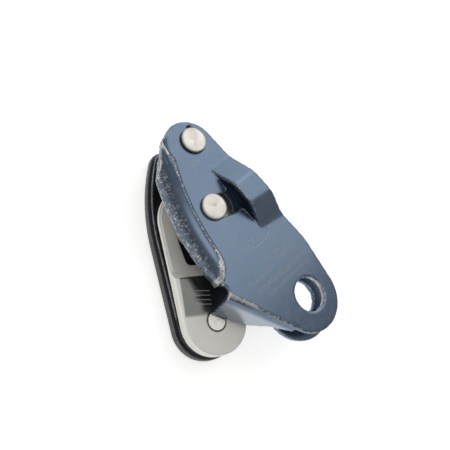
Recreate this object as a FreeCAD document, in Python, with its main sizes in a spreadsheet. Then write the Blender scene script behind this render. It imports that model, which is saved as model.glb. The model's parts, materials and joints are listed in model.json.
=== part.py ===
"""Assisted-braking belay device: two side plates, a braking cam and a folding release handle.

The frame: origin on the axis of the attachment hole, half way between the two plates there.
+Z is square to the plates, towards the moving plate; +Y runs from the attachment hole to the
plate pivot. Sizes are in millimetres and come from the spreadsheet called dims.
"""
import FreeCAD, Part
import math
import os

from FreeCAD import Placement, Rotation, Vector

PART_FOLDER = "parts"
os.makedirs(PART_FOLDER, exist_ok=True)

# Driving dimensions. Heights are z values, places are x and y in plan.
DIMENSIONS = {
    # Layers, from the moving plate down to the back of the handle.
    "plate_thickness": 2.5,
    "plate_top": 5.0,
    "plate_under": 2.5,
    "end_under": -5.0,
    "well_top": -15.8,
    "well_under": -18.3,
    "hub_top": 1.4,
    "nose_top": -9.0,
    "cam_web_top": -12.5,
    "cam_seam": -13.2,
    "cam_under": -15.5,
    "spring_roof": -8.0,
    "boss_top": -15.7,
    "arm_top": -18.6,
    "arm_under": -20.8,
    "grip_under": -25.4,
    # Axes in plan.
    "pivot_x": -1.1,
    "pivot_y": 82.2,
    "cam_x": -13.0,
    "cam_y": 54.1,
    "nose_x": -36.1,
    "nose_y": 15.8,
    # Holes, axles and bushes.
    "hole_radius": 7.5,
    "axle_radius": 4.5,
    "axle_foot_radius": 6.2,
    "head_radius": 5.7,
    "head_under": 5.15,
    "head_top": 6.6,
    "head_chamfer": 0.35,
    "bush_bore": 4.55,
    "plate_bush_radius": 5.3,
    "cam_bush_radius": 5.8,
    "pin_radius": 4.1,
    "pin_head_radius": 5.6,
    "pin_head_height": 1.0,
    "pin_end_play": 0.05,
    "handle_bush_bore": 4.15,
    "handle_bush_radius": 5.4,
    "slot_half_width": 4.9,
    "slot_mouth_radius": 1.6,
    "keyhole_radius": 1.2,
    # Moving plate: rolled lip, bridge and lower flange.
    "lip_sweep_radius": 104.0,
    "lip_centre_x": 80.5,
    "lip_centre_y": 35.2,
    "lip_radius": 8.0,
    "bridge_rise": 6.4,
    "bridge_thickness": 1.9,
    "flange_drop": 13.9,
    "flange_lean": 6.2,
    # Cam.
    "cam_head_radius": 17.5,
    "nose_radius": 14.0,
    "nose_ramp_start": 20.0,
    "nose_ramp_end": 26.5,
    "nose_groove_height": -11.2,
    "hub_radius": 11.2,
    "hub_chamfer": 1.0,
    "hub_offset": 1.3,
    "lobe_radius": 5.0,
    "lobe_reach": 10.0,
    "lobe_angle": 95.0,
    "spring_pocket_radius": 8.0,
    "hub_foot_radius": 12.6,
    # Rope guide, a wall along an arc about the hub.
    "wall_inner_radius": 22.6,
    "wall_outer_radius": 24.6,
    "wall_top": 1.6,
    # Friction block and small pins.
    "block_radius": 8.2,
    "block_toe_radius": 3.5,
    "block_top": 2.0,
    "washer_radius": 7.4,
    "washer_top": 2.45,
    "dowel_radius": 1.5,
    "stop_pin_radius": 2.0,
    "stop_pin_top": -12.9,
    # Handle.
    "handle_end_radius": 15.0,
    "handle_tip_radius": 6.8,
    "handle_wall": 1.8,
    "handle_edge": 1.3,
    "grip_inset": 0.3,
    "arm_inset": 1.7,
    "boss_radius": 13.0,
    "rivet_radius": 1.5,
    "rivet_head_radius": 2.6,
    # Springs.
    "cam_spring_radius": 6.95,
    "cam_spring_pitch": 1.8,
    "cam_spring_height": 5.4,
    "cam_wire_radius": 0.5,
    "handle_spring_radius": 7.4,
    "handle_spring_pitch": 0.95,
    "handle_spring_height": 1.9,
    "handle_wire_radius": 0.4,
}

doc = FreeCAD.newDocument("belay_device")
sheet = doc.addObject("Spreadsheet::Sheet", "dims")
for row, (alias, number) in enumerate(DIMENSIONS.items(), start=1):
    sheet.set(f"A{row}", alias)
    sheet.set(f"B{row}", str(number))
    sheet.setAlias(f"B{row}", alias)
doc.recompute()

NODES = []


def size(alias):
    """The number in the sheet's cell of that alias."""
    return float(sheet.get(alias))


def bind(thing, prop, formula):
    """Bind a property to a formula of the sheet's aliases, each written as dims.alias."""
    thing.setExpression(prop, formula)


def place(thing, x="0", y="0", z="0"):
    """Bind an object's position to formulas."""
    for axis, formula in (("x", x), ("y", y), ("z", z)):
        bind(thing, f"Placement.Base.{axis}", formula)


PIVOT = ("dims.pivot_x", "dims.pivot_y")
CAM = ("dims.cam_x", "dims.cam_y")
NOSE = ("dims.nose_x", "dims.nose_y")
pivot = Vector(size("pivot_x"), size("pivot_y"), 0)
cam_axis = Vector(size("cam_x"), size("cam_y"), 0)
nose = Vector(size("nose_x"), size("nose_y"), 0)
hub_centre = cam_axis + Vector(size("hub_offset"), 0, 0)


# --- outlines -------------------------------------------------------------------------------

def turned(vector, angle):
    """A plan vector turned counter-clockwise by an angle in radians."""
    cosine, sine = math.cos(angle), math.sin(angle)
    return Vector(vector.x * cosine - vector.y * sine, vector.x * sine + vector.y * cosine, 0)


def belt(circles):
    """Closed outline of arcs and tangent lines round circles (x, y, radius), counter-clockwise.

    A negative radius is a hollow curve, and a radius of zero is a sharp corner.
    """
    count = len(circles)
    centres = [Vector(x, y, 0) for x, y, _ in circles]
    radii = [radius for _, _, radius in circles]
    normals = []
    for here in range(count):
        after = (here + 1) % count
        run = centres[after] - centres[here]
        along = (radii[here] - radii[after]) / run.Length
        if abs(along) > 1 - 1e-9:
            along = round(along)
        run.normalize()
        outward = Vector(run.y, -run.x, 0)
        normals.append(run * along + outward * math.sqrt(1 - along * along))
    edges = []
    for here in range(count):
        after = (here + 1) % count
        normal_in, normal_out = normals[here - 1], normals[here]
        turn = math.atan2(normal_in.x * normal_out.y - normal_in.y * normal_out.x,
                          normal_in.dot(normal_out))
        if radii[here] > 0 and turn < 0:
            turn += 2 * math.pi
        if radii[here] < 0 and turn > 0:
            turn -= 2 * math.pi
        start, middle, end = (centres[here] + turned(normal_in, turn * part) * radii[here]
                              for part in (0, 0.5, 1))
        if abs(turn * radii[here]) > 1e-4:
            edges.append(Part.Arc(start, middle, end))
        far = centres[after] + normal_out * radii[after]
        if (far - end).Length > 1e-4:
            edges.append(Part.LineSegment(end, far))
    return edges


def polygon(points):
    """Closed outline of straight edges."""
    corners = [Vector(x, y, 0) for x, y in points]
    return [Part.LineSegment(corners[here - 1], corners[here]) for here in range(len(corners))]


def rounded(corners):
    """Closed outline of straight edges with arcs at its corners (x, y, radius); 0 is sharp."""
    count = len(corners)
    points = [Vector(x, y, 0) for x, y, _ in corners]
    trims = []
    for here, (_, _, radius) in enumerate(corners):
        back = (points[here - 1] - points[here]).normalize()
        ahead = (points[(here + 1) % count] - points[here]).normalize()
        half = math.acos(max(-1, min(1, back.dot(ahead)))) / 2
        reach = radius / math.tan(half)
        middle = (back + ahead).normalize() if radius else Vector()
        trims.append((points[here] + back * reach,
                      points[here] + middle * (radius / math.sin(half) - radius),
                      points[here] + ahead * reach))
    edges = []
    for here, (start, middle, end) in enumerate(trims):
        if corners[here][2]:
            edges.append(Part.Arc(start, middle, end))
        edges.append(Part.LineSegment(end, trims[(here + 1) % count][0]))
    return edges


def ring_sector(centre, inner, outer, start, end):
    """Closed outline of a part of a ring, between two angles in degrees."""
    def at(radius, share):
        return centre + turned(Vector(radius, 0, 0), math.radians(start + (end - start) * share))
    return [Part.Arc(at(outer, 0), at(outer, 0.5), at(outer, 1)),
            Part.LineSegment(at(outer, 1), at(inner, 1)),
            Part.Arc(at(inner, 1), at(inner, 0.5), at(inner, 0)),
            Part.LineSegment(at(inner, 0), at(outer, 0))]


def circle_at(centre, radius):
    return (centre.x, centre.y, radius)


# --- pieces of geometry ---------------------------------------------------------------------

def sketch(name, edges):
    """A sketch that holds the given edges."""
    drawing = doc.addObject("Sketcher::SketchObject", name)
    drawing.addGeometry(edges, False)
    return drawing


def extrusion(name, drawing, length):
    """The sketch's area extruded along its own normal."""
    solid = doc.addObject("Part::Extrusion", name)
    solid.Base = drawing
    solid.DirMode = "Normal"
    solid.Solid = True
    bind(solid, "LengthFwd", length)
    return solid


def prism(name, edges, low, high):
    """An upright prism between two heights, each a formula."""
    drawing = sketch(name + "_outline", edges)
    bind(drawing, "Placement.Base.z", low)
    return extrusion(name, drawing, f"({high}) - ({low})")


def rod(name, radius, low, high, at=("0", "0")):
    """An upright cylinder between two heights; every size is a formula."""
    solid = doc.addObject("Part::Cylinder", name)
    bind(solid, "Radius", radius)
    bind(solid, "Height", f"({high}) - ({low})")
    place(solid, at[0], at[1], low)
    return solid


def cone(name, low_radius, high_radius, low, high, at):
    """An upright cone frustum between two heights; every size is a formula."""
    solid = doc.addObject("Part::Cone", name)
    bind(solid, "Radius1", low_radius)
    bind(solid, "Radius2", high_radius)
    bind(solid, "Height", f"({high}) - ({low})")
    place(solid, at[0], at[1], low)
    return solid


def fuse(name, solids):
    union = doc.addObject("Part::MultiFuse", name)
    union.Shapes = solids
    union.Refine = True
    return union


def cut(name, base, tools):
    """The base with one tool, or the union of several, taken away."""
    tool = tools[0] if len(tools) == 1 else fuse(name + "_tools", tools)
    rest = doc.addObject("Part::Cut", name)
    rest.Base = base
    rest.Tool = tool
    rest.Refine = True
    return rest


def common(name, first, second):
    both = doc.addObject("Part::MultiCommon", name)
    both.Shapes = [first, second]
    both.Refine = True
    return both


def edge_numbers(solid, wanted):
    """Numbers of the edges of a solid for which wanted(edge) is true."""
    doc.recompute()
    return [number for number, edge in enumerate(solid.Shape.Edges, start=1) if wanted(edge)]


def eased(kind, name, solid, amount, wanted):
    """A fillet or chamfer of one amount on the wanted edges."""
    soft = doc.addObject(kind, name)
    soft.Base = solid
    soft.Edges = [(number, amount, amount) for number in edge_numbers(solid, wanted)]
    return soft


def at_height(height):
    """A test for edges that lie flat at one height."""
    def flat_there(edge):
        box = edge.BoundBox
        return abs(box.ZMin - height) < 1e-3 and abs(box.ZMax - height) < 1e-3
    return flat_there


def node(solid, name):
    """Name a finished sub-part and put it on the list of pieces to write."""
    solid.Label = name
    NODES.append(solid)
    return solid


# --- fixed side -----------------------------------------------------------------------------

def make_fixed_side_plate():
    """Pressed plate: a flat land at the attachment hole, stepping down to a flat well."""
    thick = size("plate_thickness")
    land, well = size("end_under"), size("well_under")
    step_start, step_end, bend = 12.5, 25.0, 5.0
    section = [(-20, land), (step_start, land), (step_end, well), (96, well),
               (96, well + thick), (step_end + 1.3, well + thick), (step_start + 1.3, land + thick),
               (-20, land + thick)]
    side_view = sketch("fixed_section", polygon(section))
    side_view.Placement = Placement(Vector(-36, 0, 0), Rotation(Vector(1, 1, 1), 120))
    sheet_metal = extrusion("fixed_sheet", side_view, "58")
    sheet_metal = eased("Part::Fillet", "fixed_bends", sheet_metal, bend - thick / 2,
                        lambda edge: edge.BoundBox.XLength > 50 and 5 < edge.BoundBox.YMin < 30)
    plan = prism("fixed_plan", belt([
        (-2.6, -0.8, 16.6), (-14.5, 19, 30), circle_at(hub_centre, size("wall_outer_radius") + 0.4),
        (-0.5, 80.4, 9.2), (-12.5, 57, 8.5), (-31.6, 25.2, -20.3),
    ]), "dims.well_under - 1", "0")
    blank = common("fixed_blank", sheet_metal, plan)
    holes = [
        rod("fixed_attachment_hole", "dims.hole_radius", "dims.end_under - 1", "0"),
        make_foot("fixed_pivot_seat", PIVOT),
        make_foot("fixed_cam_seat", CAM),
        rod("fixed_stop_hole", "dims.stop_pin_radius", "dims.well_under - 1", "dims.well_top + 1",
            STOP_PIN),
        rod("fixed_dowel_hole", "dims.dowel_radius", "dims.well_under - 1", "dims.well_top + 1",
            BLOCK_TOE),
    ]
    node(cut("fixed_plate_cut", blank, holes), "fixed_side_plate")


def make_rope_guide():
    """Upright wall on the well that closes the rope's channel round the hub."""
    start_angle, end_angle = -50, 32
    outline = ring_sector(hub_centre, size("wall_inner_radius"), size("wall_outer_radius"),
                          start_angle, end_angle)
    node(prism("guide_wall", outline, "dims.well_top", "dims.wall_top"), "rope_guide")


def make_foot(name, at):
    """The flush riveted foot of an axle, a cone that fills its seat in the fixed plate."""
    return cone(name, "dims.axle_foot_radius", "dims.axle_radius", "dims.well_under",
                "dims.well_top", at)


def make_axle(name, at):
    """A shouldered rivet: flush foot, plain shank and a proud head over the moving plate."""
    head = rod(name + "_head", "dims.head_radius", "dims.head_under", "dims.head_top", at)
    head = eased("Part::Chamfer", name + "_head_edge", head, size("head_chamfer"),
                 at_height(size("head_top")))
    shank = rod(name + "_shank", "dims.axle_radius", "dims.well_top", "dims.head_under", at)
    node(fuse(name + "_body", [make_foot(name + "_foot", at), shank, head]), name)


def make_friction_block():
    """Hardened block between the plates that the cam squeezes the rope against."""
    toe = Vector(*BLOCK_TOE_PLACE, 0)
    block = prism("block_body", belt([circle_at(pivot, size("block_radius")),
                                      circle_at(toe, size("block_toe_radius"))]),
                  "dims.well_top", "dims.block_top")
    block = eased("Part::Fillet", "block_edges", block, 0.8, at_height(size("block_top")))
    bores = [
        rod("block_bore", "dims.axle_radius", "dims.well_top - 1", "dims.block_top + 1", PIVOT),
        rod("block_dowel_bore", "dims.dowel_radius", "dims.well_top - 1", "dims.well_top + 6",
            BLOCK_TOE),
    ]
    node(cut("block_cut", block, bores), "friction_block")
    node(rod("block_dowel", "dims.dowel_radius", "dims.well_under", "dims.well_top + 5", BLOCK_TOE),
         "friction_block_dowel")


def make_ring(name, outer, inner, low, high, at):
    """A plain ring, such as a washer or a bush."""
    body = rod(name + "_outer", outer, low, high, at)
    bore = rod(name + "_bore", inner, f"({low}) - 1", f"({high}) + 1", at)
    node(cut(name + "_ring", body, [bore]), name)


# --- moving side plate ----------------------------------------------------------------------

def slit_x(y):
    """The slit beside the bridge is a straight line in plan."""
    return -2.5 + (65.8 - y) * 0.0972


def mouth_corner(distance, y_near):
    """Centre of the round corner at the slot's mouth, at a distance from the plate pivot."""
    x = slit_x(y_near) - size("slot_mouth_radius")
    return Vector(x, pivot.y - math.sqrt(distance ** 2 - (x - pivot.x) ** 2), 0)


def slot_outline():
    """Slot that lets the cam axle's neck out: an arc about the plate pivot, open at the slit."""
    half = size("slot_half_width")
    mouth = size("slot_mouth_radius")
    reach = (cam_axis - pivot).Length
    low_corner = mouth_corner(reach + half + mouth, 45.5)
    high_corner = mouth_corner(reach - half - mouth, 57.0)
    return belt([
        circle_at(cam_axis, half), circle_at(pivot, reach + half), circle_at(low_corner, -mouth),
        (2.0, 44.0, 0), (2.0, 60.0, 0),
        circle_at(high_corner, -mouth), circle_at(pivot, half - reach),
    ])


# The bridge in section at two places x, from the attachment hole's end to the pivot's: where its
# low foot, its crown's two ends and its high foot lie, and the radii of the bends there.
BRIDGE_SLIT_SIDE = {"x": -4.0, "corners": (36.4, 45.6, 57.0, 65.9), "bends": (5.0, 7.0, 8.0, 8.0),
                    "extra_rise": 0.2}
BRIDGE_OUTER_SIDE = {"x": 20.0, "corners": (34.4, 44.7, 57.0, 69.8),
                     "bends": (12.0, 14.0, 14.0, 12.0), "extra_rise": -1.3}
BRIDGE_TAIL = 4.0


def bridge_section(name, side):
    """Section of the raised bridge: flat tails, hollow feet and a rounded crown."""
    top, under, thick = size("plate_top"), size("plate_under"), size("bridge_thickness")
    crown = top + size("bridge_rise") + side["extra_rise"]
    halves = []
    for outward, (foot, knee), (foot_bend, knee_bend) in (
            (-1, side["corners"][:2], side["bends"][:2]),
            (1, side["corners"][:1:-1], side["bends"][:1:-1])):
        slope = math.atan2(crown - top, abs(knee - foot))
        inward_shift = -outward * thick * math.tan(slope / 2)
        foot_under = foot + inward_shift + outward * (top - under - thick) / math.tan(slope)
        tail = foot + outward * BRIDGE_TAIL
        halves.append(([(tail, top, 0), (foot, top, foot_bend), (knee, crown, knee_bend)],
                       [(tail, under, 0), (foot_under, under, foot_bend + thick),
                        (knee + inward_shift, crown - thick, knee_bend - thick)]))
    (upper_low, under_low), (upper_high, under_high) = halves
    drawing = sketch(name, rounded(upper_low + upper_high[::-1] + under_high + under_low[::-1]))
    drawing.Placement = Placement(Vector(side["x"], 0, 0), Rotation(Vector(1, 1, 1), 120))
    return drawing


def make_bridge():
    """Raised bridge beside the slot: the cam axle's head passes under it."""
    strip = doc.addObject("Part::Loft", "bridge_strip")
    strip.Sections = [bridge_section("bridge_section_slit", BRIDGE_SLIT_SIDE),
                      bridge_section("bridge_section_outer", BRIDGE_OUTER_SIDE)]
    strip.Solid = True
    strip.Ruled = True
    region = prism("bridge_region", bridge_plan(), "0", "dims.plate_top + 10")
    return common("bridge_trim", common("bridge_blank", strip, region),
                  prism("bridge_bounds", PLATE_PLAN, "0", "dims.plate_top + 10"))


def bridge_plan():
    """Plan of the bridge and its tails, to the right of the slit."""
    near, far = BRIDGE_SLIT_SIDE, BRIDGE_OUTER_SIDE
    corners = []
    for foot, tail in ((0, -BRIDGE_TAIL), (-1, BRIDGE_TAIL)):
        y_near, y_far = near["corners"][foot] + tail, far["corners"][foot] + tail
        share = (slit_x(y_near) - near["x"]) / (far["x"] - near["x"])
        y_slit = y_near + (y_far - y_near) * share
        corners.append(((slit_x(y_slit), y_slit), (far["x"], y_far)))
    (slit_low, outer_low), (slit_high, outer_high) = corners
    return polygon([slit_low, outer_low, outer_high, slit_high])


def make_rolled_lip():
    """Quarter-round lip down the plate's left side, rolled about one long arc in plan."""
    sweep, roll = size("lip_sweep_radius"), size("lip_radius")
    thick, top = size("plate_thickness"), size("plate_top")
    axis_z = top - roll
    half_turn = math.sqrt(0.5)
    inner = roll - thick
    section = sketch("lip_section", [
        Part.LineSegment(Vector(sweep, axis_z + inner, 0), Vector(sweep, axis_z + roll, 0)),
        Part.Arc(Vector(sweep, axis_z + roll, 0),
                 Vector(sweep + roll * half_turn, axis_z + roll * half_turn, 0),
                 Vector(sweep + roll, axis_z, 0)),
        Part.LineSegment(Vector(sweep + roll, axis_z, 0), Vector(sweep + inner, axis_z, 0)),
        Part.Arc(Vector(sweep + inner, axis_z, 0),
                 Vector(sweep + inner * half_turn, axis_z + inner * half_turn, 0),
                 Vector(sweep, axis_z + inner, 0)),
    ])
    first_angle, last_angle = 147.0, 186.0
    section.Placement = Placement(Vector(size("lip_centre_x"), size("lip_centre_y"), 0),
                                  Rotation(Vector(0, 0, 1), first_angle)
                                  * Rotation(Vector(1, 0, 0), 90))
    lip = doc.addObject("Part::Revolution", "lip_roll")
    lip.Source = section
    lip.Axis = Vector(0, 0, 1)
    lip.Base = Vector(size("lip_centre_x"), size("lip_centre_y"), 0)
    lip.Angle = last_angle - first_angle
    lip.Solid = True
    region = prism("lip_region", polygon([
        (-14.3, 88.5), (-10.0, 82.0), (-18.0, 39.95), (-36.0, 40.82), (-32.0, 68.0), (-19.8, 80.8),
    ]), "-8", "dims.plate_top + 1")
    return [common("lip_trim", lip, region), make_lip_end()]


def make_lip_end():
    """Lower end of the lip: it gets narrower and steeper towards its point."""
    centre = Vector(size("lip_centre_x"), size("lip_centre_y"), 0)
    roll, thick, top = size("lip_radius"), size("plate_thickness"), size("plate_top")
    outer, low = size("lip_sweep_radius") + roll, top - roll
    quarter = math.sqrt(0.5)
    sections = []
    for number, (angle, crease) in enumerate(LIP_END_CREASE, start=1):
        width = outer - crease
        inner = [Vector(crease, top - thick, 0), Vector(outer - thick, low, 0)]
        bend = Vector(crease + (width - thick) * quarter, low + (roll - thick) * quarter, 0)
        overlap = [Vector(crease - LIP_END_OVERLAP, z, 0) for z in (top - thick, top)]
        edge = Vector(crease, top, 0)
        tip = Vector(outer, low, 0)
        shoulder = Vector(crease + width * quarter, low + roll * quarter, 0)
        section = sketch(f"lip_end_section_{number}", [
            Part.LineSegment(overlap[1], edge), Part.Arc(edge, shoulder, tip),
            Part.LineSegment(tip, inner[1]), Part.Arc(inner[1], bend, inner[0]),
            Part.LineSegment(inner[0], overlap[0]), Part.LineSegment(overlap[0], overlap[1]),
        ])
        section.Placement = Placement(centre, Rotation(Vector(0, 0, 1), 180 - angle)
                                      * Rotation(Vector(1, 0, 0), 90))
        sections.append(section)
    end = doc.addObject("Part::Loft", "lip_end")
    end.Sections = sections
    end.Solid = True
    end.Ruled = True
    return end


# Towards the lip's point the crease leaves its long arc: angle about the arc's centre, distance.
LIP_END_CREASE = [(2.76, 104.0), (0.9, 104.5), (-1.0, 105.9), (-2.8, 108.6), (-4.1, 111.0)]
LIP_END_OVERLAP = 1.2


def make_lower_flange():
    """Flange down the lower left side: it leans outwards and gets shallower to the end."""
    top, thick = size("plate_top"), size("plate_thickness")
    drop, lean = size("flange_drop"), size("flange_lean")
    fold_start, fold_end = Vector(-31.0, 22.4, 0), Vector(-13.9, -5.6, 0)
    run = fold_end - fold_start
    section = sketch("flange_section", polygon([
        (-2.0, top), (1.6, top), (lean, top - drop), (lean - 2.4, top - drop - 0.6),
        (-0.4, top - thick), (-2.0, top - thick),
    ]))
    heading = math.degrees(math.atan2(run.y, run.x))
    section.Placement = Placement(fold_end, Rotation(Vector(0, 0, 1), heading - 90)
                                  * Rotation(Vector(1, 0, 0), 90))
    blade = extrusion("flange_blade", section, str(round(run.Length, 3)))
    blade = eased("Part::Fillet", "flange_bend", blade, 3.2,
                  lambda edge: edge.Length > 30 and edge.CenterOfMass.z > top - 0.01
                  and outside(edge.CenterOfMass, fold_start, fold_end) > 1.0)
    trim = sketch("flange_trim_outline", polygon([
        (-2, top - drop + 0.2), (run.Length * 0.45, top - drop + 1.7),
        (run.Length * 0.7, top - 7.0), (run.Length + 2, top - thick - 1.0),
        (run.Length + 2, -20), (-2, -20),
    ]))
    trim.Placement = Placement(fold_start, Rotation(Vector(0, 0, 1), heading)
                               * Rotation(Vector(1, 0, 0), 90))
    wedge = extrusion("flange_trim", trim, "24")
    wedge.Symmetric = True
    return cut("flange_cut", blade, [wedge])


def outside(point, start, end):
    """How far a point lies to the right of the line from start to end, seen from above."""
    run = end - start
    return ((point.x - start.x) * run.y - (point.y - start.y) * run.x) / run.Length


def make_moving_side_plate():
    """Flat plate with its rolled lip, lower flange and bridge, made as one pressing."""
    flat = prism("plate_flat", PLATE_PLAN, "dims.plate_under", "dims.plate_top")
    below, above = "dims.plate_under - 12", "dims.plate_top + 1"
    flat = cut("plate_pierced", flat, [prism("plate_window", bridge_plan(), below, above),
                                       prism("plate_slot", slot_outline(), below, above)])
    pressed = fuse("plate_pressed", [flat, make_bridge(), make_lower_flange()] + make_rolled_lip())
    holes = [
        rod("plate_attachment_hole", "dims.hole_radius", below, above),
        rod("plate_pivot_hole", "dims.plate_bush_radius", below, above, PIVOT),
        rod("plate_keyhole", "dims.keyhole_radius", below, above,
            ("dims.pivot_x + 2.6", "dims.pivot_y + 5.6")),
    ]
    node(cut("plate_cut", pressed, holes), "moving_side_plate")


# --- cam ------------------------------------------------------------------------------------

def cam_hull(inset=0.0):
    """Plan of the cam: round its axle and round its nose pin, with straight sides."""
    return belt([circle_at(cam_axis, size("cam_head_radius") - inset),
                 circle_at(nose, size("nose_radius") - inset)])


def make_cam():
    """Cam casting on its flange: nose block with a scooped ramp, low web and lobed hub."""
    base = prism("cam_base_plate", cam_hull(), "dims.cam_under", "dims.cam_seam")
    base_holes = [
        rod("cam_base_spring_hole", "dims.spring_pocket_radius", "dims.cam_under - 1",
            "dims.cam_seam + 1", CAM),
        rod("cam_base_pin_hole", "dims.pin_radius", "dims.cam_under - 1", "dims.cam_seam + 1", NOSE),
    ]
    base_holes.append(make_cam_recess("cam_base_recess", 0.6, "dims.cam_under - 1",
                                      "dims.cam_seam + 1"))
    node(cut("cam_base_cut", base, base_holes), "cam_flange")

    web = prism("cam_web", cam_hull(inset=0.8), "dims.cam_seam", "dims.cam_web_top")
    block = common("nose_blank",
                   prism("nose_block", cam_hull(), "dims.cam_seam", "dims.nose_top"),
                   make_nose_bounds())
    lobe_angle = math.radians(size("lobe_angle"))
    lobe = cam_axis + turned(Vector(size("lobe_reach"), 0, 0), lobe_angle)
    hub = prism("cam_hub", belt([circle_at(hub_centre, size("hub_radius")),
                                 circle_at(lobe, size("lobe_radius"))]),
                "dims.cam_seam", "dims.hub_top")
    hub = eased("Part::Chamfer", "cam_hub_edge", hub, size("hub_chamfer"),
                at_height(size("hub_top")))
    casting = fuse("cam_casting", [web, block, hub])
    casting = eased("Part::Fillet", "cam_nose_edge", casting, 0.5, at_height(size("nose_top")))
    cuts = [
        rod("cam_bush_bore", "dims.cam_bush_radius", "dims.cam_seam - 1", "dims.hub_top + 1", CAM),
        rod("cam_spring_pocket", "dims.spring_pocket_radius", "dims.cam_seam - 1",
            "dims.spring_roof", CAM),
        rod("cam_pin_hole", "dims.pin_radius", "dims.cam_seam - 1", "dims.nose_top + 1", NOSE),
        cone("cam_pin_chamfer", "dims.pin_radius", "dims.pin_radius + 0.35",
             "dims.nose_top - 0.35", "dims.nose_top", NOSE),
        make_nose_groove(),
        make_cam_recess("cam_recess", 0.0, "dims.cam_seam - 1", "dims.cam_web_top + 1"),
    ]
    node(cut("cam_cut", casting, cuts), "cam_body")


def make_cam_recess(name, inset, low, high):
    """Recess in the web beside the hub, between the nose's ramp and the web's left border."""
    corner = 3.0 - inset
    plan = prism(name + "_area", rounded([
        (-23.7 + inset, 61.2 - 2 * inset, 0.5), (-29.9 + inset, 40.7 + inset, corner),
        (-15.3, 32.0 + inset, corner), (-7.5 - inset, 41.0, 0.5), (hub_centre.x, hub_centre.y, 0),
    ]), low, high)
    foot = rod(name + "_hub_foot", f"dims.hub_foot_radius + {inset}", f"{low} - 1", f"{high} + 1",
               ("dims.cam_x + dims.hub_offset", "dims.cam_y"))
    return cut(name, plan, [foot])


def cam_side_direction():
    """Direction of the cam's left side, from the nose towards the axle."""
    run = cam_axis - nose
    lean = math.asin((size("cam_head_radius") - size("nose_radius")) / run.Length)
    run.normalize()
    return turned(run, lean)


def make_nose_bounds():
    """Bounds of the nose block: its far end is a hollow ramp scooped down to the flange."""
    start, end = size("nose_ramp_start"), size("nose_ramp_end")
    low, high = size("cam_seam"), size("nose_top")
    rise = high - low
    scoop = ((end - start) ** 2 + rise ** 2) / (2 * rise)
    half_angle = math.asin((end - start) / scoop) / 2
    middle = Vector(end - scoop * math.sin(half_angle), low + scoop * (1 - math.cos(half_angle)), 0)
    side = sketch("nose_side", [
        Part.LineSegment(Vector(-20, low - 1, 0), Vector(-20, high + 1, 0)),
        Part.LineSegment(Vector(-20, high + 1, 0), Vector(start, high + 1, 0)),
        Part.LineSegment(Vector(start, high + 1, 0), Vector(start, high, 0)),
        Part.Arc(Vector(start, high, 0), middle, Vector(end, low, 0)),
        Part.LineSegment(Vector(end, low, 0), Vector(end, low - 1, 0)),
        Part.LineSegment(Vector(end, low - 1, 0), Vector(-20, low - 1, 0)),
    ])
    direction = cam_side_direction()
    heading = math.degrees(math.atan2(direction.y, direction.x))
    side.Placement = Placement(nose, Rotation(Vector(0, 0, 1), heading)
                               * Rotation(Vector(1, 0, 0), 90))
    bounds = extrusion("nose_bounds", side, "60")
    bounds.Symmetric = True
    return bounds


def make_nose_groove():
    """Fine groove round the nose's side wall."""
    level = "dims.nose_groove_height"
    rim = prism("groove_rim", cam_hull(inset=-1), f"{level} - 0.15", f"{level} + 0.15")
    core = prism("groove_core", cam_hull(inset=0.3), f"{level} - 1", f"{level} + 1")
    return cut("groove_ring", rim, [core])


# --- handle ---------------------------------------------------------------------------------

def handle_plan(inset=0.0):
    """Plan of the handle: round the nose pin, a long bowed outer side, a hollow inner side."""
    return belt([
        (8.9, 31.8, -30 - inset), (-4.25, 84.4, size("handle_tip_radius") - inset),
        (51.85, 17.55, 94 - inset), circle_at(nose, size("handle_end_radius") - inset),
    ])


RIVET_PLACES = [(-31.0, 45.5), (-20.5, 62.5), (-9.5, 78.0)]


def make_handle():
    """Metal arm with a boss on the nose pin, and a hollow moulded grip riveted under it."""
    arm = prism("arm_plate", handle_plan(size("arm_inset")), "dims.arm_under", "dims.arm_top")
    arm = eased("Part::Chamfer", "arm_edge", arm, 0.35, at_height(size("arm_top")))
    boss = rod("arm_boss", "dims.boss_radius", "dims.arm_top", "dims.boss_top", NOSE)
    arm = fuse("arm_with_boss", [arm, boss])
    bore = rod("arm_bore", "dims.handle_bush_radius", "dims.arm_under - 1", "dims.boss_top + 1",
               NOSE)
    rivet_holes = [rod(f"arm_rivet_hole_{number}", "dims.rivet_radius", "dims.arm_under - 1",
                       "dims.arm_top + 1", (str(x), str(y)))
                   for number, (x, y) in enumerate(RIVET_PLACES, start=1)]
    node(cut("arm_cut", arm, [bore] + rivet_holes), "handle_arm")

    grip = prism("grip_block", handle_plan(size("grip_inset")), "dims.grip_under",
                 "dims.arm_under")
    grip = eased("Part::Fillet", "grip_edge", grip, size("handle_edge"),
                 at_height(size("grip_under")))
    hollow = prism("grip_hollow", handle_plan(size("grip_inset") + size("handle_wall")),
                   "dims.grip_under + dims.handle_wall", "dims.arm_under + 1")
    posts = [rod(f"grip_post_{number}", "dims.rivet_radius + 1.6", "dims.grip_under + 1",
                 "dims.arm_under", (str(x), str(y)))
             for number, (x, y) in enumerate(RIVET_PLACES, start=1)]
    hollow = cut("grip_hollow_cut", hollow, posts)
    tools = [hollow, rod("grip_bore", "dims.pin_head_radius + 0.3", "dims.grip_under - 1",
                         "dims.arm_under + 1", NOSE)]
    tools += [rod(f"grip_rivet_hole_{number}", "dims.rivet_radius", "dims.grip_under - 1",
                  "dims.arm_under + 1", (str(x), str(y)))
              for number, (x, y) in enumerate(RIVET_PLACES, start=1)]
    tools += [rod(f"grip_rivet_sink_{number}", "dims.rivet_head_radius", "dims.grip_under - 1",
                  "dims.grip_under + 0.6", (str(x), str(y)))
              for number, (x, y) in enumerate(RIVET_PLACES, start=1)]
    node(cut("grip_cut", grip, tools), "handle_grip")


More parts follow.
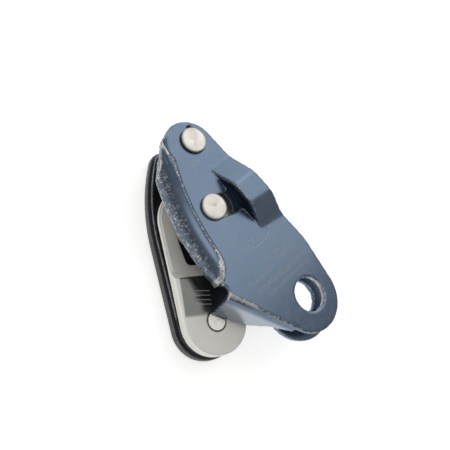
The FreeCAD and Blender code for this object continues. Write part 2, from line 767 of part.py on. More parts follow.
def make_handle_rivets():
    """Rivets that hold the grip to the arm, one node of separate solids."""
    rivets = []
    for number, (x, y) in enumerate(RIVET_PLACES, start=1):
        at = (str(x), str(y))
        shank = rod(f"rivet_shank_{number}", "dims.rivet_radius", "dims.grip_under + 0.6",
                    "dims.arm_top", at)
        head = rod(f"rivet_head_{number}", "dims.rivet_head_radius", "dims.grip_under",
                   "dims.grip_under + 0.6", at)
        rivets.append(fuse(f"rivet_{number}", [shank, head]))
    group = doc.addObject("Part::Compound", "rivet_group")
    group.Links = rivets
    node(group, "handle_rivets")


def make_handle_pin():
    """Pin through the nose: flush on the nose's face, with a head behind the handle."""
    seat = "dims.arm_under - dims.pin_end_play"
    shank = rod("nose_pin_shank", "dims.pin_radius", seat, "dims.nose_top", NOSE)
    shank = eased("Part::Chamfer", "nose_pin_edge", shank, 0.3, at_height(size("nose_top")))
    head = rod("nose_pin_head", "dims.pin_head_radius", f"{seat} - dims.pin_head_height", seat,
               NOSE)
    node(fuse("nose_pin_body", [shank, head]), "handle_pivot_pin")


HELIX_SEGMENT = 0.5


def make_spring(name, radius, pitch, height, wire_radius, low, at):
    """Coiled wire of a torsion spring."""
    path = doc.addObject("Part::Helix", name + "_path")
    for prop, formula in (("Radius", radius), ("Pitch", pitch), ("Height", height)):
        bind(path, prop, formula)
    path.SegmentLength = HELIX_SEGMENT
    place(path, at[0], at[1], low)
    wire = doc.addObject("Part::Circle", name + "_wire")
    bind(wire, "Radius", wire_radius)
    wire.Placement = Placement(Vector(0, 0, 0), Rotation(Vector(1, 0, 0), 90))
    place(wire, f"{at[0]} + {radius}", at[1], low)
    coil = doc.addObject("Part::Sweep", name + "_coil")
    coil.Sections = [wire]
    coil.Spine = (path, [])
    coil.Solid = True
    coil.Frenet = True
    node(coil, name)


# --- the assembly ---------------------------------------------------------------------------

BLOCK_TOE_PLACE = (2.6, 69.2)
BLOCK_TOE = tuple(str(number) for number in BLOCK_TOE_PLACE)
STOP_PIN = ("-7.0", "28.8")
PLATE_PLAN = belt([
    (-1.3, 0, 15.8), (-13.8, 19, 30), (-3.6, 80.6, 12), (-14.4, 87.9, 0.8),
    (size("lip_centre_x"), size("lip_centre_y"), size("lip_sweep_radius")),
    (-36.1, 39.0, -12.6), (-31.4, 27.0, 0.2), (-32.6, 24.5, -2.2), (-31.4, 21.9, 0.3),
])

make_fixed_side_plate()
make_rope_guide()
make_axle("pivot_axle", PIVOT)
make_axle("cam_axle", CAM)
make_friction_block()
make_ring("pivot_washer", "dims.washer_radius", "dims.axle_radius", "dims.block_top",
          "dims.washer_top", PIVOT)
node(rod("stop_pin", "dims.stop_pin_radius", "dims.well_under", "dims.stop_pin_top", STOP_PIN),
     "cam_stop_pin")
make_moving_side_plate()
make_ring("plate_pivot_bush", "dims.plate_bush_radius", "dims.bush_bore", "dims.plate_under",
          "dims.plate_top", PIVOT)
make_cam()
make_ring("cam_bush", "dims.cam_bush_radius", "dims.bush_bore", "dims.cam_under",
          "dims.hub_top", CAM)
make_spring("cam_spring", "dims.cam_spring_radius", "dims.cam_spring_pitch",
            "dims.cam_spring_height", "dims.cam_wire_radius", "dims.cam_under + 0.9", CAM)
make_handle_pin()
make_handle()
make_ring("handle_bush", "dims.handle_bush_radius", "dims.handle_bush_bore", "dims.arm_under",
          "dims.boss_top", NOSE)
make_ring("handle_washer", "dims.boss_radius - 2", "dims.pin_radius", "dims.boss_top + 0.05",
          "dims.cam_under", NOSE)
make_spring("handle_spring", "dims.handle_spring_radius", "dims.handle_spring_pitch",
            "dims.handle_spring_height", "dims.handle_wire_radius",
            "dims.grip_under + dims.handle_wall + 0.45", NOSE)
make_handle_rivets()

doc.recompute()
faults = [thing.Name for thing in doc.Objects if {"Invalid", "Error"} & set(thing.State)]
faults += [piece.Label for piece in NODES if piece.Shape.isNull() or not piece.Shape.isValid()]
if faults:
    raise RuntimeError("these objects failed: " + ", ".join(faults))

for piece in NODES:
    piece.Shape.exportStep(os.path.join(PART_FOLDER, piece.Label + ".step"))
    box = piece.Shape.optimalBoundingBox(True, False)
    print(f"{piece.Label:22s} solids {len(piece.Shape.Solids)} volume {piece.Shape.Volume:9.1f} "
          f"x {box.XMin:6.1f} {box.XMax:6.1f} y {box.YMin:6.1f} {box.YMax:6.1f} "
          f"z {box.ZMin:6.1f} {box.ZMax:6.1f}")
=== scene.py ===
"""Looks of the belay device: pressed and anodised side plates, a cast cam and a folding handle.

Lengths inside the helpers are in millimetres unless a name says otherwise; the frame is in metres.
"""
import json
import math

import bpy
import numpy as np
from mathutils import Matrix, Vector


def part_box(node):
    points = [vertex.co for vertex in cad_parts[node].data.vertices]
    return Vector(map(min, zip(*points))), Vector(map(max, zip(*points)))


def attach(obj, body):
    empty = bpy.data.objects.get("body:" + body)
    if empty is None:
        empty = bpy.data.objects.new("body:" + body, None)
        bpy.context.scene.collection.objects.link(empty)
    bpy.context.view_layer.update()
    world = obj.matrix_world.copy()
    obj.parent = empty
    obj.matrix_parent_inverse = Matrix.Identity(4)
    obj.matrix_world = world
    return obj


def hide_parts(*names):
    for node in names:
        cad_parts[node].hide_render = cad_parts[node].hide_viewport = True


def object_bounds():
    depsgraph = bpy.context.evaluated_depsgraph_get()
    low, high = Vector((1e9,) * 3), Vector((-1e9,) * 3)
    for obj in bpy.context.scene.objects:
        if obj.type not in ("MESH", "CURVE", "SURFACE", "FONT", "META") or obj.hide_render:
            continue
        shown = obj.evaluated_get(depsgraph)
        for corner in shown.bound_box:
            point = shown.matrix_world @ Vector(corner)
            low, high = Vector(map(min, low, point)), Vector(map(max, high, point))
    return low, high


MM = 0.001
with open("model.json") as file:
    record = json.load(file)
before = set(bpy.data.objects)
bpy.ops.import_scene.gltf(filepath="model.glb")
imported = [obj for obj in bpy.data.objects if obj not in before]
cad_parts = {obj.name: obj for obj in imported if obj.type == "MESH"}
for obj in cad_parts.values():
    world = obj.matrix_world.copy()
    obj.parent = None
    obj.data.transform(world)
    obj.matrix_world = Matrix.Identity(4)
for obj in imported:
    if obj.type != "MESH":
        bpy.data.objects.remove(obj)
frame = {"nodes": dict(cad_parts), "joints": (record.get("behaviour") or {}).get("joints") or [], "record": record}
cad_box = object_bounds()
nodes = frame["nodes"]
joints = {joint["name"]: joint for joint in frame["joints"]}
body_of = {name: body for body, members in frame["record"]["behaviour"]["bodies"].items()
           for name in members}
slots = {part["node"]: part["material_slot"] for part in frame["record"]["subparts"]}

pivot = Vector(joints["plate_swing"]["pos_m"]) / MM
cam_axis = Vector(joints["cam_pivot"]["pos_m"]) / MM
nose = Vector(joints["handle_fold"]["pos_m"]) / MM
PLATE_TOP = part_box("plate_pivot_bush")[1].z / MM
NOSE_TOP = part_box("handle_pivot_pin")[1].z / MM

# The rolled lip's long crease: an arc in plan, and the round hollow that ends it.
LIP_CENTRE = (80.5, 35.2)
LIP_SWEEP = 104.0
LIP_ROLL = 8.0
LIP_END_CENTRE = (-36.1, 39.0)
LIP_END_HOLLOW = 12.6
LIP_TIP_START = 79.3
LIP_TIP_SLOPE = 0.6

LIP_RIDGE = 0.5

# The lower flange's fold, and the cam's length from its nose towards its axle.
# The fold line also places the painted highlight and the painted sheen on the lower flange.
FOLD_START = (-31.0, 22.4)
FOLD_RUN = (0.521, -0.854)
FOLD_LENGTH = 34.0
CAM_RUN = (0.517, 0.856)
# Ends of the nose face's ground band, which is painted dark as the plates' reflection.
NOSE_POLISH_AND_SHADE_END = 19.5
NOSE_POLISH_AND_SHADE_HALF_WIDTH = 13.5

# Rivet heads of both axles, and the fine marks on the flat faces.
AXLE_RADIUS = 4.5
HEAD_RADIUS = 5.7
HEAD_FOOT = 5.15
MARK_LIFT = 0.03
TICK_PITCH, TICK_LEAN = 1.1, 0.45

# Rounding passes over the even meshes, and sides of the turned pieces.
EASE_PASSES = 3
TURNED_SIDES = 128


# --- shader helpers -------------------------------------------------------------------------

class Shader:
    """A material with short calls for its nodes."""

    def __init__(self, name):
        self.material = bpy.data.materials.new(name)
        self.material.use_nodes = True
        self.tree = self.material.node_tree
        self.bsdf = self.tree.nodes["Principled BSDF"]
        self.normal = None

    def node(self, kind, **settings):
        made = self.tree.nodes.new(kind)
        for key, value in settings.items():
            setattr(made, key, value)
        return made

    def link(self, out, into):
        self.tree.links.new(out, into)

    def feed(self, socket, value):
        if isinstance(value, bpy.types.NodeSocket):
            self.link(value, socket)
        elif value is not None:
            socket.default_value = value

    def set(self, **values):
        for key, value in values.items():
            self.feed(self.bsdf.inputs[key.replace("_", " ")], value)
        return self

    def place(self, scale=(1, 1, 1), rotation=(0, 0, 0)):
        """Position in the object, in millimetres, scaled and turned."""
        coords = self.node("ShaderNodeTexCoord")
        mapping = self.node("ShaderNodeMapping")
        mapping.inputs["Rotation"].default_value = rotation
        mapping.inputs["Scale"].default_value = [factor / MM for factor in scale]
        self.link(coords.outputs["Object"], mapping.inputs["Vector"])
        return mapping.outputs["Vector"]

    def noise(self, where, scale, detail=3.0, roughness=0.5):
        made = self.node("ShaderNodeTexNoise")
        self.link(where, made.inputs["Vector"])
        for key, number in (("Scale", scale), ("Detail", detail), ("Roughness", roughness)):
            made.inputs[key].default_value = number
        return made.outputs["Fac"]

    def ramp(self, value, low, high, out_low=0.0, out_high=1.0):
        """The value's share between low and high, clamped and spread over the outputs' range."""
        made = self.node("ShaderNodeMapRange", clamp=True)
        self.link(value, made.inputs["Value"])
        for key, number in (("From Min", low), ("From Max", high), ("To Min", out_low),
                            ("To Max", out_high)):
            made.inputs[key].default_value = number
        return made.outputs["Result"]

    def math(self, operation, first, second=None):
        made = self.node("ShaderNodeMath", operation=operation)
        self.feed(made.inputs[0], first)
        self.feed(made.inputs[1], second)
        return made.outputs[0]

    def mix(self, factor, first, second, kind="RGBA"):
        made = self.node("ShaderNodeMix", data_type=kind)
        sockets = [socket for socket in made.inputs if socket.enabled]
        for socket, value in zip(sockets, (factor, first, second)):
            self.feed(socket, value)
        return next(socket for socket in made.outputs if socket.enabled)

    def mix_number(self, factor, first, second):
        return self.mix(factor, first, second, "FLOAT")

    def around_zero(self, noise, reach):
        """A noise moved to lie around zero, reaching that far both ways in all."""
        return self.math("MULTIPLY", self.math("SUBTRACT", noise, 0.5), reach)

    def attribute(self, name):
        return self.node("ShaderNodeAttribute", attribute_name=name).outputs["Fac"]

    def bump(self, height, strength, distance):
        """Add a fine relief of that depth in millimetres over any relief added before."""
        made = self.node("ShaderNodeBump")
        made.inputs["Strength"].default_value = strength
        made.inputs["Distance"].default_value = distance * MM
        self.link(height, made.inputs["Height"])
        if self.normal is not None:
            self.link(self.normal, made.inputs["Normal"])
        self.normal = made.outputs["Normal"]
        self.link(self.normal, self.bsdf.inputs["Normal"])
        return self


def colour(red, green, blue):
    return (red, green, blue, 1.0)


# --- materials ------------------------------------------------------------------------------

def make_anodised():
    """Satin steel-blue anodising, rubbed and pitted to bare metal where it is handled, with bare metal along the
    lower flange's fold that is partly wear and partly a painted highlight, and a painted pale sheen on the
    flange's face.
    """
    shader = Shader("anodised_blue")
    where = shader.place()
    tone = shader.noise(where, 0.06, 4.0, 0.6)
    blue = shader.mix(tone, colour(0.118, 0.163, 0.232), colour(0.150, 0.200, 0.274))
    cloud = shader.noise(where, 0.35, 6.0, 0.7)
    blue = shader.mix(shader.ramp(cloud, 0.45, 0.75, 0.0, 0.35), blue, colour(0.19, 0.245, 0.315))
    speck = shader.noise(where, 1.5, 5.0, 0.75)
    chip = shader.noise(where, 0.55, 3.0, 0.6)
    rub_and_fold_highlight, edge = shader.attribute("rub_and_fold_highlight"), shader.attribute("edge")
    # Besides real rubbing, the rub attribute holds bare metal along the lower flange's fold, partly a painted
    # highlight.
    wear_and_fold_highlight = shader.math("ADD", shader.math("MULTIPLY", rub_and_fold_highlight, 0.72), shader.math("MULTIPLY", edge, 0.95))
    wear_and_fold_highlight = shader.math("ADD", wear_and_fold_highlight, shader.around_zero(speck, 1.7))
    wear_and_fold_highlight = shader.math("ADD", wear_and_fold_highlight, shader.around_zero(chip, 0.9))
    bare = shader.ramp(wear_and_fold_highlight, 0.52, 0.74)
    fine = shader.noise(where, 3.5, 3.0, 0.6)
    metal = shader.mix(fine, colour(0.20, 0.21, 0.22), colour(0.88, 0.89, 0.88))
    dull = shader.mix(shader.ramp(rub_and_fold_highlight, 0.15, 0.9, 0.0, 0.75), blue, colour(0.045, 0.055, 0.065))
    streak_place = shader.place(scale=(0.25, 6.0, 6.0), rotation=(0, 0, math.radians(35)))
    streak = shader.ramp(shader.noise(streak_place, 1.0, 2.0, 0.4), 0.70, 0.78)
    dull = shader.mix(shader.math("MULTIPLY", streak, 0.3), dull, colour(0.32, 0.38, 0.46))
    # Painted reflection: the lower flange's face is painted pale and glossy, standing for the white floor it
    # mirrors.
    polish_and_painted_sheen = shader.attribute("polish_and_painted_sheen")
    base = shader.mix(polish_and_painted_sheen, shader.mix(bare, dull, metal), colour(0.80, 0.84, 0.87))
    rough = shader.mix_number(bare, shader.ramp(cloud, 0.3, 0.7, 0.22, 0.31), 0.34)
    shader.set(Base_Color=base, Metallic=0.88, Roughness=shader.mix_number(polish_and_painted_sheen, rough, 0.1))
    shader.bump(shader.noise(where, 6.0, 3.0, 0.6), 0.2, 0.02)
    shader.bump(shader.math("MULTIPLY", bare, -1.0), 0.5, 0.05)
    return shader.material


def make_cam_steel():
    """Cast stainless steel: matte and mottled; where the attribute says so it is ground glossy and painted
    near-black, a painted shade for the plates' dark reflection and shadow.
    """
    shader = Shader("cam_stainless")
    where = shader.place()
    mottle = shader.noise(where, 2.2, 6.0, 0.75)
    tint = shader.noise(where, 0.15, 3.0, 0.5)
    matte = shader.mix(mottle, colour(0.66, 0.64, 0.58), colour(0.90, 0.88, 0.82))
    matte = shader.mix(shader.ramp(tint, 0.3, 0.7, 0.0, 0.5), matte, colour(0.86, 0.85, 0.80))
    ground_and_painted_shade = shader.attribute("ground_and_painted_shade")
    across = shader.place(scale=(0.12, 5.0, 5.0), rotation=(0, 0, math.radians(-24)))
    brush = shader.noise(across, 1.6, 3.0, 0.6)
    # Painted shade: near-black brushed steel standing for the plates' dark reflection and shadow on the cam.
    dark = shader.mix(brush, colour(0.085, 0.09, 0.085), colour(0.19, 0.19, 0.175))
    base = shader.mix(ground_and_painted_shade, matte, dark)
    edge = shader.attribute("edge")
    base = shader.mix(shader.ramp(edge, 0.2, 0.8, 0.0, 0.8), base, colour(0.97, 0.96, 0.92))
    rough = shader.mix_number(ground_and_painted_shade, shader.ramp(mottle, 0.3, 0.7, 0.36, 0.48), 0.16)
    shader.set(Base_Color=base, Metallic=shader.mix_number(ground_and_painted_shade, 0.25, 0.9), Roughness=rough)
    shader.bump(brush, 0.2, 0.015).bump(mottle, 0.3, 0.02)
    return shader.material


def make_turned_steel():
    """Turned rivet head: fine rings, and a highlight that fans out from the centre."""
    shader = Shader("turned_steel")
    where = shader.place()
    rings = shader.node("ShaderNodeTexWave", wave_type="RINGS", rings_direction="Z")
    shader.link(where, rings.inputs["Vector"])
    for key, number in (("Scale", 1.4), ("Distortion", 0.6), ("Detail", 2.0)):
        rings.inputs[key].default_value = number
    stain = shader.noise(where, 0.35, 4.0, 0.6)
    base = shader.mix(stain, colour(0.56, 0.53, 0.47), colour(0.80, 0.775, 0.72))
    tangent = shader.node("ShaderNodeTangent", direction_type="RADIAL", axis="Z")
    shader.set(Base_Color=base, Metallic=1.0, Anisotropic=0.9,
               Roughness=shader.ramp(stain, 0.3, 0.7, 0.32, 0.40))
    shader.link(tangent.outputs["Tangent"], shader.bsdf.inputs["Tangent"])
    shader.bump(rings.outputs["Fac"], 0.18, 0.02)
    return shader.material


def make_plain_steel(name, base, rough):
    """Machined steel of a hidden part: drawn or turned, with a light mottle."""
    shader = Shader(name)
    where = shader.place()
    grain = shader.noise(shader.place(scale=(1, 1, 8)), 1.5, 4.0, 0.65)
    cloud = shader.noise(where, 0.5, 3.0, 0.5)
    dark = colour(*(0.72 * channel for channel in base))
    shader.set(Base_Color=shader.mix(cloud, dark, colour(*base)), Metallic=1.0,
               Roughness=shader.ramp(grain, 0.3, 0.7, rough - 0.06, rough + 0.08))
    shader.bump(grain, 0.2, 0.02)
    return shader.material


def make_black(name, metallic, rough, edge_tone):
    """Black anodised metal or moulded plastic with a lighter edge, partly rubbed wear and partly a painted rim
    highlight.
    """
    shader = Shader(name)
    where = shader.place()
    cloud = shader.noise(where, 0.4, 5.0, 0.65)
    base = shader.mix(cloud, colour(0.012, 0.013, 0.016), colour(0.038, 0.040, 0.046))
    speck = shader.noise(where, 2.4, 4.0, 0.7)
    edge = shader.attribute("edge")
    # Lighter edges: partly rubbed wear, partly a painted rim highlight.
    worn_and_highlit_edge = shader.ramp(shader.math("ADD", edge, shader.around_zero(speck, 0.9)), 0.36, 0.66)
    shader.set(Base_Color=shader.mix(worn_and_highlit_edge, base, edge_tone), Metallic=metallic,
               Roughness=shader.ramp(cloud, 0.3, 0.7, rough - 0.05, rough + 0.1))
    shader.bump(shader.noise(where, 5.0, 3.0, 0.6), 0.3, 0.03)
    return shader.material


def make_mark(name, base):
    """The floor of an engraved stroke."""
    shader = Shader(name)
    tone = shader.noise(shader.place(), 1.2, 3.0, 0.6)
    dark = colour(*(0.6 * channel for channel in base))
    shader.set(Base_Color=shader.mix(tone, dark, colour(*base)), Metallic=0.5, Roughness=0.5)
    return shader.material


anodised = make_anodised()
cam_steel = make_cam_steel()
turned_steel = make_turned_steel()
LOOKS = {
    "anodised_plate": anodised,
    "cam_steel": cam_steel,
    "hardened_steel": make_plain_steel("ground_steel", (0.52, 0.52, 0.51), 0.28),
    "rivet_steel": make_plain_steel("rivet_steel", (0.74, 0.72, 0.68), 0.26),
    "washer_steel": make_plain_steel("washer_steel", (0.58, 0.58, 0.57), 0.34),
    "bush_bronze": make_plain_steel("sintered_bronze", (0.62, 0.44, 0.22), 0.42),
    "spring_steel": make_plain_steel("spring_wire", (0.42, 0.42, 0.43), 0.3),
    # The handle's last colours are its lighter edges, partly a painted rim highlight.
    "handle_metal": make_black("black_anodised", 0.8, 0.36, colour(0.50, 0.52, 0.55)),
    "handle_plastic": make_black("black_moulding", 0.3, 0.34, colour(0.20, 0.20, 0.195)),
}
for name, thing in nodes.items():
    thing.data.materials.clear()
    thing.data.materials.append(LOOKS[slots[name]])


# --- meshes ---------------------------------------------------------------------------------

def link_piece(name, mesh, node):
    """An object of that mesh which moves with a CAD node's body."""
    piece = bpy.data.objects.new(name, mesh)
    bpy.context.scene.collection.objects.link(piece)
    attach(piece, body_of[node])
    return piece


def mesh_of(name, verts, faces, material):
    """A mesh in metres from points in millimetres."""
    mesh = bpy.data.meshes.new(name)
    mesh.from_pydata([[value * MM for value in point] for point in verts], [], faces)
    mesh.update()
    mesh.materials.append(material)
    return mesh


def points_of(mesh):
    """The mesh's points in millimetres."""
    flat = np.empty(len(mesh.vertices) * 3)
    mesh.vertices.foreach_get("co", flat)
    return flat.reshape(-1, 3) / MM


def move_points(mesh, points):
    mesh.vertices.foreach_set("co", (points * MM).ravel())
    mesh.update()


def write_attribute(mesh, name, values):
    layer = mesh.attributes.new(name, "FLOAT", "POINT")
    layer.data.foreach_set("value", np.asarray(values, np.float32))


def convexity(mesh):
    """How far each point stands out from its neighbours: 0 on flats, towards 1 on sharp edges."""
    points = points_of(mesh)
    flat = np.empty(len(mesh.vertices) * 3)
    mesh.vertex_normals.foreach_get("vector", flat)
    normals = flat.reshape(-1, 3)
    ends = np.empty(len(mesh.edges) * 2, np.int64)
    mesh.edges.foreach_get("vertices", ends)
    first, second = ends.reshape(-1, 2).T
    run = points[second] - points[first]
    run /= np.maximum(np.linalg.norm(run, axis=1, keepdims=True), 1e-9)
    total = np.zeros(len(points))
    count = np.zeros(len(points))
    np.add.at(total, first, -(normals[first] * run).sum(1))
    np.add.at(total, second, (normals[second] * run).sum(1))
    np.add.at(count, first, 1)
    np.add.at(count, second, 1)
    bend = total / np.maximum(count, 1)
    for _ in range(2):
        spread = np.zeros(len(points))
        np.add.at(spread, first, bend[second])
        np.add.at(spread, second, bend[first])
        bend = 0.5 * bend + 0.5 * spread / np.maximum(count, 1)
    return np.clip(bend / 0.22, 0, 1)


def softened(node, grain, shape=None):
    """A fine even mesh of a CAD node with its sharp edges eased; it stands for the node."""
    source = nodes[node]
    piece = link_piece(node + "_skin", source.data.copy(), node)
    remesh = piece.modifiers.new("even", "REMESH")
    remesh.mode = "VOXEL"
    remesh.voxel_size = grain * MM
    smooth = piece.modifiers.new("ease", "SMOOTH")
    smooth.iterations = EASE_PASSES
    smooth.factor = 0.5
    settled = piece.evaluated_get(bpy.context.evaluated_depsgraph_get())
    mesh = bpy.data.meshes.new_from_object(settled)
    piece.modifiers.clear()
    piece.data = mesh
    mesh.name = node + "_skin"
    write_attribute(mesh, "edge", convexity(mesh))
    points = points_of(mesh)
    if shape is not None:
        points = shape(mesh, points)
        move_points(mesh, points)
    mesh.shade_smooth()
    mesh.materials.clear()
    mesh.materials.append(LOOKS[slots[node]])
    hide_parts(node)


def lathe(name, node, profile, material, centre):
    """A round piece about an upright axis from its (radius, height) profile, for a CAD node."""
    angles = np.linspace(0, 2 * math.pi, TURNED_SIDES, endpoint=False)
    verts = [(radius * math.cos(angle), radius * math.sin(angle), height)
             for radius, height in profile for angle in angles]
    faces = []
    for ring in range(len(profile) - 1):
        low, high = ring * TURNED_SIDES, (ring + 1) * TURNED_SIDES
        for step in range(TURNED_SIDES):
            after = (step + 1) % TURNED_SIDES
            faces.append((low + step, low + after, high + after, high + step))
    faces.append(tuple(range(TURNED_SIDES))[::-1])
    faces.append(tuple(range(len(verts) - TURNED_SIDES, len(verts))))
    mesh = mesh_of(name, verts, faces, material)
    mesh.shade_smooth()
    piece = link_piece(name, mesh, node)
    piece.location = (centre.x * MM, centre.y * MM, 0)
    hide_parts(node)


def smoothstep(value, low, high):
    share = np.clip((value - low) / (high - low), 0, 1)
    return share * share * (3 - 2 * share)


def lip_reach(x, y):
    """Distance outwards from the lip's crease, and that distance on the plain long arc."""
    plain = np.hypot(x - LIP_CENTRE[0], y - LIP_CENTRE[1]) - LIP_SWEEP
    tip = np.clip((y - LIP_TIP_START) * LIP_TIP_SLOPE, 0, LIP_ROLL - 1.5)
    reach = np.where(y > LIP_TIP_START, (plain - tip) * LIP_ROLL / (LIP_ROLL - tip), plain)
    hollow = LIP_END_HOLLOW - np.hypot(x - LIP_END_CENTRE[0], y - LIP_END_CENTRE[1])
    return np.where(y < LIP_END_CENTRE[1], hollow, reach), plain


def roll_drop(distance):
    """How far the rolled lip lies under the plate's top at a distance from its crease."""
    inside = np.clip(distance, 0, LIP_ROLL)
    return LIP_ROLL - np.sqrt(LIP_ROLL ** 2 - inside ** 2)


def shape_moving_plate(mesh, points):
    """Flat tip beside the lip, a low ridge along its crease, where the plate is rubbed, bare metal along the lower
    flange's fold that is partly wear and partly a painted highlight, and a painted pale sheen on the flange's
    face.
    """
    x, y, z = points.T
    reach, plain = lip_reach(x, y)
    on_lip = (x < -5) & (y > 26.3) & (plain > -0.5)
    lifted = np.where(y > LIP_TIP_START, roll_drop(plain) - roll_drop(reach), 0.0)
    ridge = smoothstep(reach, -0.1, 0.8) * (1 - smoothstep(reach, 1.6, 6.0))
    fade = smoothstep(y, 27.0, 31.0) * (1 - smoothstep(y, 84.0, 88.0))
    points[:, 2] += np.where(on_lip, lifted + LIP_RIDGE * ridge * fade, 0.0)
    outer = smoothstep(reach, 2.6, 6.0)
    crease = smoothstep(reach, 0.0, 0.5) * (1 - smoothstep(reach, 0.9, 2.6))
    ends = smoothstep(np.abs(y - 58.0), 12.0, 26.0)
    rub_and_fold_highlight = np.where(on_lip & (z > -4), 0.58 * outer + (0.62 + 0.35 * ends) * crease, 0.0)
    low_end = on_lip & (reach > 0.1) & (y < 42) & (z > -4)
    low_rub = smoothstep(-y, -41.0, -33.0) * (1 - smoothstep(reach, 2.2, 4.5))
    rub_and_fold_highlight += np.where(low_end, 0.7 * low_rub, 0.0)
    along = (x - FOLD_START[0]) * FOLD_RUN[0] + (y - FOLD_START[1]) * FOLD_RUN[1]
    across = (x - FOLD_START[0]) * FOLD_RUN[1] - (y - FOLD_START[1]) * FOLD_RUN[0]
    bend = np.exp(-(across - 0.6) ** 2) * (along > -1) * (along < FOLD_LENGTH) * (z > 1)
    # Bare metal along the lower flange's fold, strongest near its start: partly wear, partly a painted highlight.
    rub_and_fold_highlight += bend * (1.15 - 0.75 * smoothstep(along, 8, 17))
    rub_and_fold_highlight += 0.9 * (np.hypot(x, y) < 8.1) * (z < 4.6) * (z > 1.5)
    rub_and_fold_highlight += 0.12 * (np.hypot(x, y) < 12) * (z > 2)
    write_attribute(mesh, "rub_and_fold_highlight", np.clip(rub_and_fold_highlight, 0, 1))
    face = smoothstep(across, 2.4, 3.2) * (along > 0.6) * (along < FOLD_LENGTH) * (z < 3.2)
    # Painted reflection: a pale gloss on the lower flange's outer face.
    write_attribute(mesh, "polish_and_painted_sheen", face * 0.35)
    return points


def no_rub(mesh, points):
    """The fixed plate gets no rubbing, no painted fold highlight and no polish or painted sheen."""
    write_attribute(mesh, "rub_and_fold_highlight", np.zeros(len(points)))
    write_attribute(mesh, "polish_and_painted_sheen", np.zeros(len(points)))
    return points


def shape_cam(mesh, points):
    """The nose's face is ground glossy and painted dark towards the plates, a painted reflection of their
    undersides; the cam's parts above z -1.5 get painted shade under the moving plate; the rest is matte.
    """
    x, y, z = points.T
    along = (x - nose.x) * CAM_RUN[0] + (y - nose.y) * CAM_RUN[1]
    aside = (x - nose.x) * CAM_RUN[1] - (y - nose.y) * CAM_RUN[0]
    border = 2.5 - 4.5 * smoothstep(aside, -3.0, 0.5) + 3.0 * smoothstep(aside, 2.0, 6.0)
    half_width = np.abs(aside + 0.015 * along)
    inside = 1 - smoothstep(half_width, NOSE_POLISH_AND_SHADE_HALF_WIDTH - 0.2, NOSE_POLISH_AND_SHADE_HALF_WIDTH + 0.3)
    before = 1 - smoothstep(along, NOSE_POLISH_AND_SHADE_END - 0.3, NOSE_POLISH_AND_SHADE_END + 0.3)
    dark = smoothstep(along - border, -0.5, 0.9) * before * inside
    on_nose = (z > NOSE_TOP - 0.3) & (z < NOSE_TOP + 1)
    # Painted shade: 1 on the nose's face towards the plates, 0.85 on the parts high under the moving plate.
    write_attribute(mesh, "ground_and_painted_shade", np.where(on_nose, dark, 0.85 * (z > -1.5)))
    return points


softened("moving_side_plate", 0.42, shape=shape_moving_plate)
softened("fixed_side_plate", 0.5, shape=no_rub)
softened("cam_body", 0.34, shape=shape_cam)
softened("cam_flange", 0.42)
softened("handle_arm", 0.42)
softened("handle_grip", 0.5)
softened("friction_block", 0.5)


def axle_profile(node):
    """Foot, shank and a domed head with an eased edge and a turning mark at its centre."""
    low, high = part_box(node)
    foot, top = low.z / MM, high.z / MM
    return [(6.15, foot), (AXLE_RADIUS, foot + 2.5), (AXLE_RADIUS, HEAD_FOOT),
            (HEAD_RADIUS - 0.15, HEAD_FOOT), (HEAD_RADIUS, HEAD_FOOT + 0.15),
            (HEAD_RADIUS, top - 0.42), (HEAD_RADIUS - 0.1, top - 0.2),
            (HEAD_RADIUS - 0.35, top - 0.06), (HEAD_RADIUS - 0.8, top),
            (0.7, top), (0.5, top - 0.05), (0.15, top - 0.09)]


lathe("pivot_axle_turned", "pivot_axle", axle_profile("pivot_axle"), turned_steel, pivot)
lathe("cam_axle_turned", "cam_axle", axle_profile("cam_axle"), turned_steel, cam_axis)


# --- engraved marks -------------------------------------------------------------------------

def engraved(name, node, level, strokes, width, material):
    """Fine engraved strokes on a flat face: thin strips along lines of points in plan."""
    verts, faces = [], []
    for stroke in strokes:
        points = np.array(stroke, float)
        run = np.gradient(points, axis=0)
        run /= np.linalg.norm(run, axis=1, keepdims=True)
        side = np.stack([-run[:, 1], run[:, 0]], axis=1) * width / 2
        first = len(verts)
        for (x, y), (off_x, off_y) in zip(points, side):
            verts.append((x + off_x, y + off_y, level + MARK_LIFT))
            verts.append((x - off_x, y - off_y, level + MARK_LIFT))
        for at in range(first, len(verts) - 2, 2):
            faces.append((at, at + 1, at + 3, at + 2))
    link_piece(name, mesh_of(name, verts, faces, material), node)


def arc(centre, radius, start, end, steps=24):
    """Points along an arc between two angles in degrees."""
    angles = np.radians(np.linspace(start, end, steps))
    return [(centre[0] + radius * math.cos(a), centre[1] + radius * math.sin(a)) for a in angles]


def tick_rows(rows):
    """Rows of even slanted ticks, each given by its two ends, its foot and its height."""
    strokes = []
    for start_x, end_x, foot, tall in rows:
        for x in np.arange(start_x, end_x, TICK_PITCH):
            strokes.append([(x, foot), (x + TICK_LEAN, foot + tall)])
    return strokes


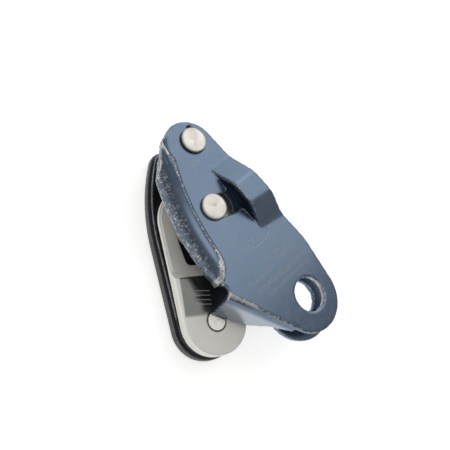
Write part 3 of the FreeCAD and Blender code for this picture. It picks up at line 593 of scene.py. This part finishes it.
light_mark = make_mark("engraving_light", (0.40, 0.46, 0.53))
bright_mark = make_mark("engraving_bright", (0.60, 0.60, 0.56))
dark_mark = make_mark("engraving_dark", (0.02, 0.02, 0.022))
plate_marks = tick_rows([(-22.5, -7.5, 18.4, 2.4), (-20.5, 14.0, 14.0, 2.2), (-17.0, 11.5, 10.6, 1.8),
                         (-2.5, 7.5, 19.5, 4.5), (-14.0, -6.5, 32.0, 3.0), (-10.5, -4.0, 72.3, 2.4)])
engraved("plate_marks", "moving_side_plate", PLATE_TOP, plate_marks, 0.24, light_mark)
engraved("plate_curve", "moving_side_plate", PLATE_TOP,
         [[(8.9, 38.1), (6.6, 35.0), (3.0, 32.5), (0.2, 31.0), (-2.9, 30.1), (-6.5, 30.0),
           (-9.8, 30.8)]], 0.3, light_mark)
engraved("cam_grooves", "cam_body", NOSE_TOP,
         [[(-35.8 - 1.2 * row, 31.1 - 1.4 * row), (-30.4 - 1.0 * row, 27.3 - 1.6 * row)]
          for row in range(4)], 0.28, bright_mark)
engraved("pin_ring", "cam_body", NOSE_TOP, [arc((nose.x, nose.y), 4.3, 0, 360, 73)], 0.34, dark_mark)


# --- floor, light and camera ----------------------------------------------------------------

def area_light(name, place, aim, size, radiance):
    """A soft light of a given brightness, in metres, so that what mirrors it is that bright."""
    data = bpy.data.lights.new(name, "AREA")
    data.shape = "RECTANGLE"
    data.size, data.size_y = size
    data.energy = radiance * math.pi * size[0] * size[1]
    lamp = bpy.data.objects.new(name, data)
    lamp.location = place
    lamp.rotation_mode = "QUATERNION"
    lamp.rotation_quaternion = (Vector(aim) - Vector(place)).to_track_quat("-Z", "Y")
    bpy.context.scene.collection.objects.link(lamp)


floor_level = cad_box[0].z
floor_mesh = bpy.data.meshes.new("floor")
FLOOR_HALF = 2.5
floor_mesh.from_pydata([(FLOOR_HALF * x, FLOOR_HALF * y, floor_level)
                        for x, y in ((-1, -1), (1, -1), (1, 1), (-1, 1))], [], [(0, 1, 2, 3)])
floor = bpy.data.objects.new("floor", floor_mesh)
bpy.context.scene.collection.objects.link(floor)
floor_look = Shader("floor")
floor_look.set(Base_Color=colour(0.93, 0.93, 0.92), Roughness=0.9, Emission_Strength=0.55,
               Emission_Color=colour(1, 1, 0.985))
floor_mesh.materials.append(floor_look.material)

world = bpy.data.worlds.new("studio")
bpy.context.scene.world = world
world.use_nodes = True
sky = world.node_tree.nodes["Background"].inputs
sky["Color"].default_value = colour(1, 1, 1)
sky["Strength"].default_value = 0.36

# The main soft light stands over the right side; its near edge is mirrored across the plate.
KEY_AZIMUTH, KEY_ELEVATION, KEY_DISTANCE = math.radians(17), math.radians(53), 0.7
key_place = Vector((math.cos(KEY_ELEVATION) * math.cos(KEY_AZIMUTH),
                    math.cos(KEY_ELEVATION) * math.sin(KEY_AZIMUTH),
                    math.sin(KEY_ELEVATION))) * KEY_DISTANCE
area_light("key", key_place, (0, 0.03, 0), (0.46, 0.62), 1.15)
area_light("far", (0.40, 0.47, 0.28), (0, 0.05, 0), (0.42, 0.50), 1.05)
area_light("overhead", (-0.30, 0.08, 0.70), (-0.02, 0.05, 0), (0.34, 0.50), 1.35)

# The camera stands over the plates' left side, as a hand-held phone would: it looks down steeply
# and is turned about its own line of sight.
CAMERA_AZIMUTH, CAMERA_ELEVATION, CAMERA_ROLL = np.radians((179.7142, 56.6825, 53.3645))
CAMERA_PLACE = Vector((-0.1317, 0.0460, 0.1845))
camera_data = bpy.data.cameras.new("camera")
camera_data.sensor_width = 36.0
camera_data.lens = 41.6
camera = bpy.data.objects.new("camera", camera_data)
camera.matrix_world = (Matrix.Translation(CAMERA_PLACE)
                       @ Matrix.Rotation(CAMERA_AZIMUTH + math.pi / 2, 4, "Z")
                       @ Matrix.Rotation(math.pi / 2 - CAMERA_ELEVATION, 4, "X")
                       @ Matrix.Rotation(CAMERA_ROLL, 4, "Z"))
bpy.context.scene.collection.objects.link(camera)
bpy.context.scene.camera = camera
bpy.context.scene.view_settings.view_transform = "Standard"
